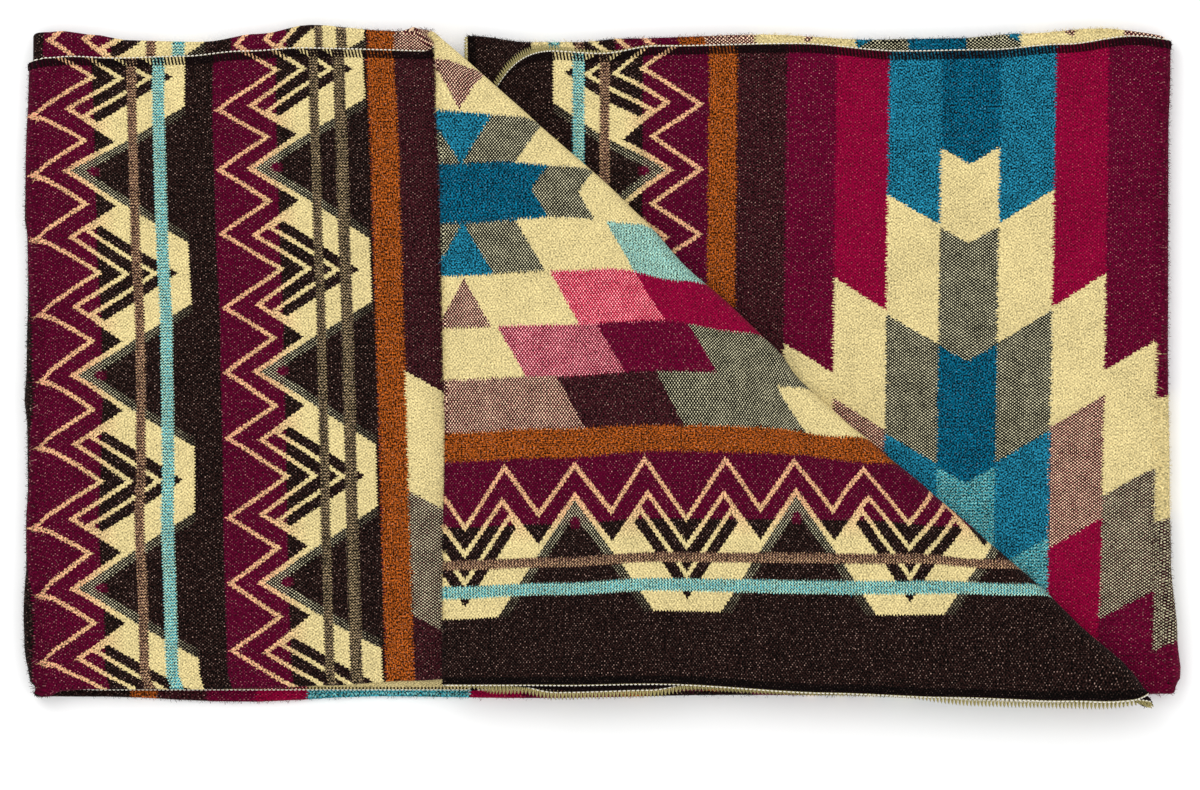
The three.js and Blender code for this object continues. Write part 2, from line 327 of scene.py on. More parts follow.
def read(rows, key, column, at):
    """Value of a column at a place, eased from row to row."""
    if at <= rows[0][key]:
        return rows[0][column]
    for before, after in zip(rows, rows[1:]):
        if at <= after[key]:
            part = (at - before[key]) / (after[key] - before[key])
            return mix(before[column], after[column], (1 - math.cos(math.pi * part)) / 2)
    return rows[-1][column]


SLIP_ROUNDS = 8


def slipped(rows, along, across):
    """How far the upper run's cloth has slipped at a place, by a table of slips."""
    if not LEAD_PLACES[0]["along"] < along < LEAD_PLACES[-1]["along"]:
        return 0.0
    return sum(read(LEAD_PLACES, "along", name, along) * read(rows, "across", name, across)
               for name in ("near", "far", "side"))


def lead(along, across):
    """How far the cloth has slipped across its width at a place."""
    return slipped(LEADS, along, across)


def true_across(along, level):
    """The place across the cloth that has slipped to a level of the folds."""
    across = level
    for _ in range(SLIP_ROUNDS):
        across = level - lead(along, across)
    return across


def fold_thirds(along, across, lift):
    """The cloth folded in thirds: its y, its height in the packet and its slip."""
    across += lead(along, across)
    low_end = read(EDGES, "along", "fold_ab", along) + FOLD_REACH
    high_end = read(EDGES, "along", "fold_bc", along) - FOLD_REACH

    def slip(name):
        return read(SLIPS, "along", name, along)

    if across <= END_A:
        part = across / THIRD_A
        y = mix(read(EDGES, "along", "hem_a", along), low_end, part)
        drift = slipped(DRIFTS, along, across)
        return y, 2.5 * PITCH + lift, mix(slip("hem_a"), slip("fold_ab"), part) + drift
    if across <= START_B:
        angle = math.pi * (across - END_A) / WIDTH_TURN
        radius = PITCH / 2 + lift
        y = low_end - radius * math.sin(angle)
        return y, 2 * PITCH + radius * math.cos(angle), slip("fold_ab")
    if across <= END_B:
        part = (across - START_B) / THIRD_B
        y = mix(low_end, high_end, part)
        return y, 1.5 * PITCH - lift, mix(slip("fold_ab"), slip("fold_bc"), part)
    if across <= START_C:
        angle = math.pi * (across - END_B) / WIDTH_TURN
        radius = PITCH / 2 - lift
        y = high_end + radius * math.sin(angle)
        return y, PITCH + radius * math.cos(angle), slip("fold_bc")
    part = (across - START_C) / THIRD_C
    y = mix(high_end, read(EDGES, "along", "hem_c", along), part)
    return y, 0.5 * PITCH + lift, mix(slip("fold_bc"), slip("hem_c"), part)


def fold_length(path, height):
    """The packet folded in three: its x and its height."""
    if path <= RIGHT_START:
        return INNER_END + path, PACKET + height
    if path <= UNDER_START:
        angle = math.pi * (path - RIGHT_START) / LENGTH_TURN
        return RIGHT_TURN_X + height * math.sin(angle), PACKET + height * math.cos(angle)
    if path <= LEFT_START:
        return RIGHT_TURN_X - (path - UNDER_START), PACKET - height
    if path <= UPPER_START:
        angle = math.pi * (path - LEFT_START) / LENGTH_TURN
        return LEFT_TURN_X - height * math.sin(angle), PACKET - height * math.cos(angle)
    return LEFT_TURN_X + path - UPPER_START, PACKET + height


def from_crease(spot):
    """Distances of a spot from the crease: along it and outward past it."""
    offset = spot - CREASE_START
    return offset.dot(CREASE_ALONG), offset.dot(CREASE_OUT)


def turned_steps():
    """How the turned corner moves for each millimetre of the packet's x and y."""
    run = TURNED_CORNER[0].x - TURNED_TOP[0].x
    per_x = (TURNED_CORNER[1] - TURNED_TOP[1]) / run
    rest = TURNED_END[0] - TURNED_CORNER[0]
    per_y = (TURNED_END[1] - TURNED_CORNER[1] - per_x * rest.x) / rest.y
    return per_x, per_y


PER_X, PER_Y = turned_steps()


def turned_spot(spot):
    """Where a spot of the packet lies once the corner is turned back."""
    offset = spot - TURNED_TOP[0]
    return TURNED_TOP[1] + PER_X * offset.x + PER_Y * offset.y


def roll_back(spot, height, out):
    """A spot of the packet out past the crease, rolled over it: its spot and its height."""
    if out >= CREASE_TURN:
        return turned_spot(spot), 2 * PACKET - height
    part = out / CREASE_TURN
    radius = PACKET - height
    start = spot - CREASE_OUT * out
    finish = turned_spot(start + CREASE_OUT * CREASE_TURN)
    spot = start.lerp(finish, part) + CREASE_OUT * (radius * math.sin(math.pi * part))
    return spot, PACKET - radius * math.cos(math.pi * part)


def pulled(spot, out):
    """How far the turned cloth is pulled in x and y at a spot of it, out past the crease."""
    x = read(FLAP_EDGE, "y", "inward", spot.y)
    x *= ease(1 - (spot.x - TURNED_TOP[1].x) / FLAP_EDGE_REACH)
    y = drawn(*spot) * ease(-out / DRAWN_REACH)
    y -= TIP_DROP * bell(spot.x - TIP_X, TIP_REACH) * ease((TIP_START - spot.y) / TIP_GROW)
    rise = TOP_RISE * bell(spot.x - TURNED_TOP[1].x, TOP_REACH)
    rise *= ease((TOP_PAST - out) / TOP_FADE)
    return Vector((x, y + rise * ease((spot.y - TOP_START) / (TOP_END - TOP_START))))


def turn_corner(spot, height):
    """The upper run with its far corner turned back: its spot and its height in the packet."""
    out = from_crease(spot)[1]
    level = height
    if out > 0:
        spot, level = roll_back(spot, height, out)
    near_along, near_out = from_crease(spot)
    if out > 0:
        spot = spot + pulled(spot, near_out)
    wave = read(CREASE_WAVE, "along", "outward", near_along)
    wave *= bell(near_out, CREASE_WAVE_REACH)
    return spot + CREASE_OUT * wave, level


def bell(distance, reach):
    """1 at no distance, falling softly to 0 past the reach."""
    return math.exp(-((distance / reach) ** 2))


def ease(part):
    """A soft step from 0 to 1."""
    part = min(1.0, max(0.0, part))
    return part * part * (3 - 2 * part)


def side(rows, distance, y):
    """How far a side fold stands out at a distance from it and at a place in y."""
    return read(rows, "y", "outward", y) * ease(1 - distance / SIDE_REACH)


def left_lean(distance, y):
    """How far the cloth leans in beside the left-hand fold."""
    return LEAN * (max(0.0, LEAN_START - y) / LEAN_GROW) ** 2 * ease(1 - distance / LEAN_REACH)


def drawn(x, y):
    """How far the turned corner's cloth is drawn in y at a place."""
    columns = [{"y": row, "shift": 0.0} for row, _ in DRAWN]
    place_x = min(DRAWN_X[-1] - 0.01, max(DRAWN_X[0], x))
    index = next(i for i in range(len(DRAWN_X) - 1) if place_x < DRAWN_X[i + 1])
    part = ease((place_x - DRAWN_X[index]) / (DRAWN_X[index + 1] - DRAWN_X[index]))
    for column, (_, shifts) in zip(columns, DRAWN):
        column["shift"] = mix(shifts[index], shifts[index + 1], part)
    return read(columns, "y", "shift", y)


def stack_scale(x, y):
    """How much the stack stands up or is pressed down at a place."""
    rise = 0.0
    for hump in RISES:
        distance = math.hypot(x - hump["x"], y - hump["y"]) / hump["reach"]
        rise += hump["rise"] * math.exp(-(distance ** 2))
    for crease in CREASES:
        turn = math.radians(crease["turn"])
        dx, dy = x - crease["x"], y - crease["y"]
        ahead = (dx * math.cos(turn) + dy * math.sin(turn)) / crease["length"]
        aside = (dy * math.cos(turn) - dx * math.sin(turn)) / crease["width"]
        rise += crease["height"] * math.exp(-(ahead ** 2) - aside ** 2)
    return 1 + rise / STACK_HEIGHT


def place(along, across, lift):
    """A point of the flat cloth in the folded blanket, in metres."""
    y, height, slip = fold_thirds(along, across, lift)
    path = along + slip
    right = max(0.0, RIGHT_START - path, path - UNDER_START)
    left = max(0.0, LEFT_START - path, path - UPPER_START)
    path += side(LEFT_SIDE, left, y) - side(RIGHT_SIDE, right, y)
    sag = read(END_SAG, "across", "reach", across)
    path += sag * ease(1 - (LENGTH - along) / END_SAG_ALONG)
    x, height_here = fold_length(path, height)
    if along < CORNER_ALONG and across <= END_A:
        part = (1 - max(0.0, along) / CORNER_ALONG) ** 2
        x += CORNER_IN * part * math.exp(-((across / CORNER_ACROSS) ** 2))
    z = height_here
    if path > UPPER_START:
        spot, level = turn_corner(Vector((x, y)), height)
        x, y = spot
        z = PACKET + level + PACKET * ease((x - RAMP_START) / (RAMP_END - RAMP_START))
    shift = side(RIGHT_SIDE, RIGHT_EDGE - x, y) - side(LEFT_SIDE, x - LEFT_EDGE, y)
    x += shift + left_lean(x - LEFT_EDGE, y)
    z = (z - (PITCH - SOLID_THICKNESS) / 2) * stack_scale(x, y)
    return Vector((x - MIDDLE.x, y - MIDDLE.y, z)) * MM


def round_corners(bm):
    """Rounds the four corners of the flat cloth, and what is sewn beside them."""
    for vert in bm.verts:
        far_along, far_across = vert.co.x > LENGTH / 2, vert.co.y > WIDTH / 2
        radius = OTHER_CORNER if far_along or far_across else SHOWN_CORNER
        in_along = radius - (LENGTH - vert.co.x if far_along else vert.co.x)
        in_across = radius - (WIDTH - vert.co.y if far_across else vert.co.y)
        if in_along <= 0 or in_across <= 0:
            continue
        past = max(0.0, in_along - radius, in_across - radius)
        a, b = min(in_along, radius) / radius, min(in_across, radius) / radius
        a, b = a * math.sqrt(1 - b * b / 2), b * math.sqrt(1 - a * a / 2)
        along, across = radius - a * (radius + past), radius - b * (radius + past)
        vert.co.x = LENGTH - along if far_along else along
        vert.co.y = WIDTH - across if far_across else across


def fold_up(bm):
    """Folds a flat mesh: every vertex moves to its place in the blanket, none below the floor."""
    for vert in bm.verts:
        vert.co = place(*vert.co)
        vert.co.z = max(0.0, vert.co.z)


class Wire:
    """A value in a node tree, with arithmetic that adds Math nodes."""

    def __init__(self, tree, socket):
        self.tree = tree
        self.socket = socket

    def math(self, operation, *others):
        node = self.tree.nodes.new("ShaderNodeMath")
        node.operation = operation
        for socket, value in zip(node.inputs, (self, *others)):
            if isinstance(value, Wire):
                self.tree.links.new(value.socket, socket)
            else:
                socket.default_value = value
        return Wire(self.tree, node.outputs[0])

    def __add__(self, other):
        return self.math("ADD", other)

    def __sub__(self, other):
        return self.math("SUBTRACT", other)

    def __mul__(self, other):
        return self.math("MULTIPLY", other)

    def __truediv__(self, other):
        return self.math("DIVIDE", other)

    def __lt__(self, other):
        return self.math("LESS_THAN", other)

    def __gt__(self, other):
        return self.math("GREATER_THAN", other)

    def least(self, other):
        return self.math("MINIMUM", other)

    def most(self, other):
        return self.math("MAXIMUM", other)

    def size(self):
        return self.math("ABSOLUTE")

    def sine(self):
        return self.math("SINE")

    def between(self, low, high):
        """1 from low up to high, else 0."""
        return (self > low) * (self < high)

    def lines(self, start, slope):
        """A straight line: its value at 0, and its slope."""
        return self.math("MULTIPLY_ADD", slope, start)


class Paint:
    """Colours in a node tree, laid over each other by masks."""

    def __init__(self, tree):
        self.tree = tree

    def over(self, below, above, mask):
        node = self.tree.nodes.new("ShaderNodeMix")
        node.data_type = "RGBA"
        for socket, value in ((node.inputs[0], mask), (node.inputs[6], below),
                              (node.inputs[7], above)):
            if isinstance(value, Wire):
                self.tree.links.new(value.socket, socket)
            elif isinstance(value, bpy.types.NodeSocket):
                self.tree.links.new(value, socket)
            elif isinstance(value, (int, float)):
                socket.default_value = value
            else:
                socket.default_value = (*value, 1.0)
        return node.outputs[2]


def linear(colour):
    """A colour of a screen, 0 to 255 a channel, as linear light."""
    def channel(value):
        value /= 255
        return value / 12.92 if value <= 0.04045 else ((value + 0.055) / 1.055) ** 2.4
    return tuple(channel(value) for value in colour)


# Yarns, as they look in daylight
YARNS = {
    "brown": (26, 13, 11),
    "black": (11, 10, 8),
    "maroon": (80, 0, 34),
    "dark_maroon": (92, 0, 38),
    "magenta": (132, 0, 48),
    "plum": (50, 16, 22),
    "teal": (24, 100, 124),
    "deep_teal": (2, 76, 100),
    "aqua_dark": (18, 120, 136),
    "pale_aqua": (180, 212, 184),
    "cream": (222, 203, 144),
    "ivory": (238, 230, 190),
    "tan": (212, 168, 122),
    "pink": (214, 110, 112),
    "orange": (150, 74, 20),
    "rust": (84, 36, 12),
    "rose": (182, 8, 58),
    "pale_rose": (250, 176, 178),
    "wine": (132, 18, 50),
    "red_brown": (80, 28, 34),
    "blush": (250, 214, 180),
    "dusty": (166, 134, 102),
    "ash": (140, 120, 90),
}
LINEAR = {name: linear(colour) for name, colour in YARNS.items()}


class BlanketSizes(bpy.types.PropertyGroup):
    """Sizes that a user may change, in metres."""

    thickness: FloatProperty(
        name="Cloth thickness", description="From face to reverse, pile included",
        default=2.6 * MM, min=1.5 * MM, max=3.2 * MM, unit="LENGTH")
    net: FloatProperty(
        name="Net", description="Size of a face of the cloth where it shows",
        default=9.0 * MM, min=6.0 * MM, max=20.0 * MM, unit="LENGTH")
    stitch: FloatProperty(
        name="Stitch", description="Length of one chain stitch of the hems",
        default=3.4 * MM, min=2.5 * MM, max=6.0 * MM, unit="LENGTH")
    hem: FloatProperty(
        name="Hem", description="Width of the overlocked band of the hems",
        default=6.2 * MM, min=3.0 * MM, max=8.0 * MM, unit="LENGTH")
    fibre: FloatProperty(
        name="Fibre", description="Longest loose fibre of the brushed pile",
        default=4.6 * MM, min=1.0 * MM, max=8.0 * MM, unit="LENGTH")
    fibres: IntProperty(
        name="Fibres", description="How many loose fibres stand out of the pile",
        default=30000, min=0, max=45000)


class BlanketColours(bpy.types.PropertyGroup):
    """Colours of the sewing."""

    chain: FloatVectorProperty(
        name="Chain thread", description="Pale thread of the chain stitches at the hem's edge",
        default=linear((250, 244, 228)), size=3, subtype="COLOR", min=0, max=1)
    loops: FloatVectorProperty(
        name="Loop thread", description="Woolly thread that loops under the hem",
        default=linear((216, 202, 138)), size=3, subtype="COLOR", min=0, max=1)
    whip: FloatVectorProperty(
        name="Whip thread", description="Dark thread that wraps the hem's face",
        default=linear((22, 10, 12)), size=3, subtype="COLOR", min=0, max=1)


def new_group(name, inputs, outputs):
    """A shader node group with named sockets."""
    tree = bpy.data.node_groups.new(name, "ShaderNodeTree")
    for socket, kind in inputs:
        tree.interface.new_socket(socket, in_out="INPUT", socket_type=kind)
    for socket, kind in outputs:
        tree.interface.new_socket(socket, in_out="OUTPUT", socket_type=kind)
    return tree, tree.nodes.new("NodeGroupInput"), tree.nodes.new("NodeGroupOutput")


NUMBER = "NodeSocketFloat"
COLOUR = "NodeSocketColor"

# Weave, in millimetres: its checks and knit strokes, and how far borders are brushed out
CHECK_ALONG = 3.2
CHECK_ACROSS = 2.4
KNIT = 4.6
RAGGED_ALONG = 3.0
RAGGED_ACROSS = 2.6
TUFT = 9.0

# How the weave shades the yarns, as parts of their lightness
CHECK_LEVEL = 0.42
DOT_LEVEL = 0.45
DOT_COLOUR = (160, 132, 120)
DOT_SHARE = 0.6
HEATHER = 3.9
# Painted shade and light: the weave's low places are darkened and its raised threads lightened, by
# this part of lightness for each unit of height
HOLLOW_PAINTED_SHADE = 0.14
CLOUD_SHADE = 0.3
PLAIN_SHADE = 0.85
DARKEST_SHADE = 0.04
HEM_DARKER = 0.7


def weave_group():
    """Threads of the cloth: ragged places, checks, dots, knit strokes and height."""
    tree, given, out = new_group(
        "Weave",
        [("Along", NUMBER), ("Across", NUMBER)],
        [("Ragged Along", NUMBER), ("Ragged Across", NUMBER), ("Check", NUMBER),
         ("Dots", NUMBER), ("Knit", NUMBER), ("Height", NUMBER), ("Cloud", NUMBER),
         ("Heather", NUMBER), ("Tuft", NUMBER)])
    along = Wire(tree, given.outputs["Along"])
    across = Wire(tree, given.outputs["Across"])

    def fleck(scale_along, scale_across, detail):
        joined = tree.nodes.new("ShaderNodeCombineXYZ")
        tree.links.new((along * scale_along).socket, joined.inputs[0])
        tree.links.new((across * scale_across).socket, joined.inputs[1])
        cells = tree.nodes.new("ShaderNodeTexNoise")
        cells.inputs["Scale"].default_value = 1.0
        cells.inputs["Detail"].default_value = detail
        tree.links.new(joined.outputs[0], cells.inputs["Vector"])
        return Wire(tree, cells.outputs["Fac"])

    fine = fleck(0.72, 0.72, 1.0)
    cloud = fleck(0.02, 0.02, 3.0)
    circle = 2 * math.pi
    rib = (along * (circle / CHECK_ALONG)).sine()
    thread = (across * (circle / CHECK_ACROSS)).sine()
    checks = rib * thread
    ragged_along = along + thread * 0.7 + (fine - 0.5) * RAGGED_ALONG
    ragged_across = across + rib * 0.4 + (fleck(0.5, 0.8, 1.0) - 0.5) * RAGGED_ACROSS
    blotch = fleck(0.09, 0.07, 2.0) - 0.5
    check = (checks - CHECK_LEVEL + blotch * 0.5) * 3.4 + (fine - 0.5) * 4.2 + 0.5
    check = check.least(1.0).most(0.0)
    patches = ((fleck(0.5, 0.32, 2.0) - 0.5) * 6.0).most(0.0).least(1.0)
    dots = ((checks - DOT_LEVEL) * 5.0).most(0.0).least(1.0) * patches
    slant = (along * (circle / KNIT)).math("PINGPONG", math.pi / 2) * 2.4
    strokes = (across * (circle / CHECK_ACROSS) + slant).sine()
    knit = (strokes + (fine - 0.5) * 2.0) * 1.5 + 0.25
    knit = knit.least(1.0).most(0.0)
    heather = (fleck(0.8, 0.66, 1.0) - 0.5) * 2.0 + checks * 0.16 + blotch * 0.3
    height = checks * 0.3 + rib * 0.1 + thread * 0.1 + fine * 0.8
    tuft = (fleck(0.16, 0.95, 2.0) - 0.5) * TUFT
    for name, value in (("Ragged Along", ragged_along), ("Ragged Across", ragged_across),
                        ("Check", check), ("Dots", dots), ("Knit", knit), ("Height", height),
                        ("Cloud", cloud), ("Heather", heather), ("Tuft", tuft)):
        tree.links.new(value.socket, out.inputs[name])
    return tree


# The zigzag band, in millimetres of depth from its outer points to its base, and aside of the
# middle of a motif, which is half of MOTIF wide
MOTIF = 81.6
BAND = 129.6
LINE = 6.4
GROUND_CHANGE = 53.0
OUTLINE_START = 8.0
OUTLINE_END = 21.0
OUTLINE_FADE = 122.0
FIRST_STRIPE = (81.6, 89.8)
SECOND_STRIPE = (103.0, 113.0)
BAR_GAP = 11.0
DARK_SPOT = (48.0, 57.0)
DARK_SPOT_HALF = 3.4
PALE_CHANGE = 40.0
PALE_FADE = 30.0

# Lines of one motif: their depth at its middle, and how it changes aside from there
LONG_POINT = (50.4, -1.68)
LONG_RISE = (-50.3, 1.677)
LONG_FALL = (126.6, -1.552)
CLIMB = (-15.3, 1.576)
SHORT_POINT = (73.6, -1.6)
SHORT_FALL = (160.0, -1.647)
BAR_LINE = (97.6, -1.65)
BAR_END = (120.0, -1.67)
BLOCK_SIDE = (163.5, -1.7)


def band_group():
    """One band of zigzags, barred points, triangles and two stripes."""
    tree, given, out = new_group(
        "Zigzag Band",
        [("Depth", NUMBER), ("Aside", NUMBER), ("Check", NUMBER), ("Knit", NUMBER),
         ("Stripe One Dark", COLOUR), ("Stripe One Light", COLOUR),
         ("Stripe Two Dark", COLOUR), ("Stripe Two Light", COLOUR)],
        [("Color", COLOUR)])
    depth = Wire(tree, given.outputs["Depth"])
    aside = Wire(tree, given.outputs["Aside"])
    check = Wire(tree, given.outputs["Check"])
    knit = Wire(tree, given.outputs["Knit"])
    paint = Paint(tree)

    first = aside.lines(*LONG_POINT).most(
        aside.lines(*LONG_RISE).least(aside.lines(*LONG_FALL)))
    climb = aside.lines(*CLIMB)
    second = aside.lines(*SHORT_POINT).most(climb.least(aside.lines(*SHORT_FALL)))
    third = aside.lines(*BAR_LINE)
    bar_end = aside.lines(*BAR_END)
    side = aside.lines(*BLOCK_SIDE)
    in_base = depth < BAND

    ground = paint.over(LINEAR["maroon"], LINEAR["brown"], depth > GROUND_CHANGE)
    outline = (depth > side + OUTLINE_START) * (depth < side + OUTLINE_END)
    outline = outline * (depth * (-1 / OUTLINE_FADE) + 1.2).least(1.0).most(0.0)
    outline = outline * in_base
    grey = paint.over(LINEAR["black"], LINEAR["ivory"], check * 0.8)
    colour = paint.over(ground, grey, outline)
    spot = (aside > MOTIF - DARK_SPOT_HALF) * depth.between(*DARK_SPOT) * 0.7
    colour = paint.over(colour, LINEAR["maroon"], spot)
    pale = paint.over(LINEAR["tan"], LINEAR["cream"], (depth - PALE_CHANGE) / PALE_FADE)
    pale = paint.over(pale, LINEAR["pink"], check * (depth * -0.012 + 0.75).most(0.0))
    colour = paint.over(colour, pale, depth.between(first, first + LINE))
    fill = (depth > second) * (depth < side + OUTLINE_START) * in_base
    colour = paint.over(colour, pale, fill)
    bar_one = (depth > second + LINE) * (depth < third)
    bar_two = (depth > third + LINE) * (depth < bar_end) * (depth > climb + BAR_GAP)
    colour = paint.over(colour, ground, bar_one.most(bar_two))
    for band, dark, light in ((FIRST_STRIPE, "Stripe One Dark", "Stripe One Light"),
                              (SECOND_STRIPE, "Stripe Two Dark", "Stripe Two Light")):
        stripe = paint.over(given.outputs[dark], given.outputs[light], knit)
        colour = paint.over(colour, stripe, depth.between(*band))
    tree.links.new(colour, out.inputs["Color"])
    return tree


# Places along the cloth from its nearer end, and half widths of the stepped columns
AXIS = 399.2
BASE_OUTER = 66.4
TIP_OUTER = 188.4
BASE_MIDDLE = 609.6
TIP_MIDDLE = 729.6
BASE_INNER = 753.6
TIP_INNER = 881.6
COLUMNS = (0.0, 22.8, 64.8, 106.4, 145.6)
ORANGE_START = 185.2
ORANGE_END = 207.6
STEP_SLOPE = 0.58

# Motifs across: middle of the first and the last barred point of each third, and their number
MIDDLE_A = 16.0
MIDDLE_AB = 503.0
MIDDLE_BC = START_C + 15.0
MIDDLE_C = WIDTH - 16.0
MOTIF_COUNT = 3

# The outer end's bands lie a little nearer to it, and one side of the blocks is a little wider
OUTER_SHIFT = 9.0
WIDER_COLUMNS = 0.035
PAST_TIP = 1.5

# Stepped blocks across each column, from the axis outward: yarns, and where each ends
FACE_BLOCKS = (
    (("deep_teal", 74), ("cream", 137), ("grey", 231), ("deep_teal", 328), ("aqua", 0)),
    (("teal", 122), ("cream", 217), ("grey", 312), ("teal", 396), ("aqua", 0)),
    (("magenta", 190), ("cream", 285), ("mauve", 381), ("magenta", 0)),
    (("dark_maroon", 242), ("cream", 340), ("grey_mauve", 436), ("dark_maroon", 0)),
    (("plum", 264), ("cream", 360), ("grey_mauve", 460), ("plum", 0)),
)
REVERSE_BLOCKS = (
    (("deep_teal", 55), ("grey", 92), ("cream", 188), ("grey", 284), ("teal", 380), ("cream", 0)),
    (("teal", 0.5), ("grey", 42), ("cream", 114), ("light_aqua", 210), ("grey", 300), ("teal", 400),
     ("cream", 0)),
    (("mauve", -1.2), ("cream", 70), ("rose_weave", 140), ("magenta", 240), ("mauve", 335),
     ("cream", 430), ("rose_weave", 0)),
    (("cream", 28), ("pink_mauve", 108), ("dark_maroon", 182), ("grey", 276), ("cream", 370),
     ("dark_maroon", 0)),
    (("mauve", 75), ("plum", 155), ("grey", 256), ("cream", 352), ("mauve", 450), ("plum", 0)),
)


def mixed_yarns(paint, check, knit, outer):
    """Colours of the chart: plain yarns, and two yarns woven through each other."""
    pairs = {
        "grey": ("black", "ivory", 0.78),
        "mauve": ("red_brown", "blush", 1.0),
        "grey_mauve": ("plum", "ivory", 0.8),
        "pink_mauve": ("wine", "pale_rose", 1.0),
        "rose_weave": ("rose", "pale_rose", 1.0),
        "orange_weave": ("orange", "rust", 1.0),
    }
    colours = dict(LINEAR)
    for name, (dark, light, amount) in pairs.items():
        colours[name] = paint.over(LINEAR[dark], LINEAR[light], check * amount)
    colours["aqua"] = paint.over(LINEAR["aqua_dark"], LINEAR["pale_aqua"], knit * 0.35)
    colours["light_aqua"] = paint.over(LINEAR["aqua_dark"], LINEAR["pale_aqua"],
                                       knit * 0.55 + 0.3)
    colours["plum"] = outer
    return colours


def blocks_group(name, charts, slope):
    """Stepped blocks of one side of the cloth."""
    tree, given, out = new_group(
        name,
        [("Aside", NUMBER), ("Across", NUMBER), ("Check", NUMBER), ("Knit", NUMBER),
         ("Outer Yarn", COLOUR)],
        [("Color", COLOUR)])
    aside = Wire(tree, given.outputs["Aside"])
    across = Wire(tree, given.outputs["Across"])
    paint = Paint(tree)
    colours = mixed_yarns(paint, Wire(tree, given.outputs["Check"]),
                          Wire(tree, given.outputs["Knit"]), given.outputs["Outer Yarn"])
    colour = None
    for start, chart in zip(COLUMNS, charts):
        slanted = across - (aside - start) * slope
        column = colours[chart[-1][0]]
        for yarn, end in reversed(chart[:-1]):
            column = paint.over(column, colours[yarn], slanted < end)
        colour = column if colour is None else paint.over(colour, column, aside > start)
    colour = paint.over(colour, colours["orange_weave"], aside > ORANGE_START)
    tree.links.new(colour, out.inputs["Color"])
    return tree


def use_group(tree, group, **inputs):
    """A group placed in a tree, with its inputs linked or set."""
    node = tree.nodes.new("ShaderNodeGroup")
    node.node_tree = group
    for name, value in inputs.items():
        socket = node.inputs[name.replace("_", " ")]
        if isinstance(value, Wire):
            tree.links.new(value.socket, socket)
        elif isinstance(value, tuple):
            socket.default_value = (*value, 1.0)
        else:
            tree.links.new(value, socket)
    return node


def motif_aside(across):
    """How far a place across the cloth is from the middle of its motif."""
    part_a = (across - MIDDLE_A) * (MOTIF_COUNT / (MIDDLE_AB - MIDDLE_A))
    part_b = (across - MIDDLE_AB) * (MOTIF_COUNT / (MIDDLE_BC - MIDDLE_AB)) + MOTIF_COUNT
    part_c = (across - MIDDLE_BC) * (MOTIF_COUNT / (MIDDLE_C - MIDDLE_BC)) + 2 * MOTIF_COUNT
    motifs = part_a + (part_b - part_a) * (across > MIDDLE_AB)
    motifs = motifs + (part_c - motifs) * (across > MIDDLE_BC)
    return motifs.math("PINGPONG", 0.5) * (2 * MOTIF)


def band_depth(end, at_middle, at_inner):
    """Depth in the zigzag band at a place from the nearer end: outer, middle or inner band."""
    outer, middle, inner = (
        end.lines(tip * BAND / (tip - base), -BAND / (tip - base))
        for base, tip in ((BASE_OUTER, TIP_OUTER), (BASE_MIDDLE, TIP_MIDDLE),
                          (BASE_INNER, TIP_INNER)))
    depth = outer + (middle - outer) * at_middle
    return depth + (inner - depth) * at_inner


def charted_colour(tree, groups, weave, reverse):
    """Colour of the cloth's bands and blocks at a ragged place of the weave."""
    along = Wire(tree, weave.outputs["Ragged Along"])
    across = Wire(tree, weave.outputs["Ragged Across"])
    check = Wire(tree, weave.outputs["Check"])
    knit = Wire(tree, weave.outputs["Knit"])
    paint = Paint(tree)
    from_end = (along * -1.0) + LENGTH
    outer_half = along > LENGTH / 2
    outer_shift = ((from_end * (-1 / AXIS)) + 1.0).most(0.0) * OUTER_SHIFT
    end = along.least(from_end + outer_shift)
    aside = motif_aside(across)
    at_middle = end > (ORANGE_END + AXIS)
    at_inner = end > (TIP_MIDDLE + BASE_INNER) / 2
    depth = band_depth(end, at_middle, at_inner)

    def coloured_band(first, second):
        return use_group(
            tree, groups["band"], Depth=depth, Aside=aside, Check=check, Knit=knit,
            Stripe_One_Dark=first[0], Stripe_One_Light=first[1],
            Stripe_Two_Dark=second[0], Stripe_Two_Light=second[1]).outputs["Color"]

    bright = coloured_band((LINEAR["plum"], LINEAR["dusty"]),
                           (LINEAR["aqua_dark"], LINEAR["pale_aqua"]))
    grey = coloured_band((LINEAR["black"], LINEAR["ash"]), (LINEAR["black"], LINEAR["ash"]))
    only_middle = at_middle * ((at_inner * -1.0) + 1.0)
    colour = paint.over(bright, grey, only_middle)
    colour = paint.over(colour, LINEAR["brown"], depth > BAND)
    past_tip = (depth < -PAST_TIP) * at_middle
    colour = paint.over(colour, LINEAR["brown"], past_tip)

    if reverse:
        chart_across = (across - MIDDLE_BC).size()
    else:
        chart_across = (across - MIDDLE_A).math("PINGPONG", MIDDLE_AB - MIDDLE_A)
    from_axis = (end - AXIS).size()
    from_centre = (along - LENGTH / 2).size()
    right_side = (end > AXIS) * ((outer_half * -1.0) + 1.0)
    from_axis = from_axis - from_axis * right_side * WIDER_COLUMNS
    column_aside = from_axis.least(from_centre) + Wire(tree, weave.outputs["Tuft"])
    blocks = use_group(
        tree, groups["reverse_blocks" if reverse else "face_blocks"], Aside=column_aside,
        Across=chart_across, Check=check, Knit=knit,
        Outer_Yarn=paint.over(LINEAR["plum"], LINEAR["dark_maroon"], right_side))
    return paint.over(colour, blocks.outputs["Color"], column_aside < ORANGE_END)


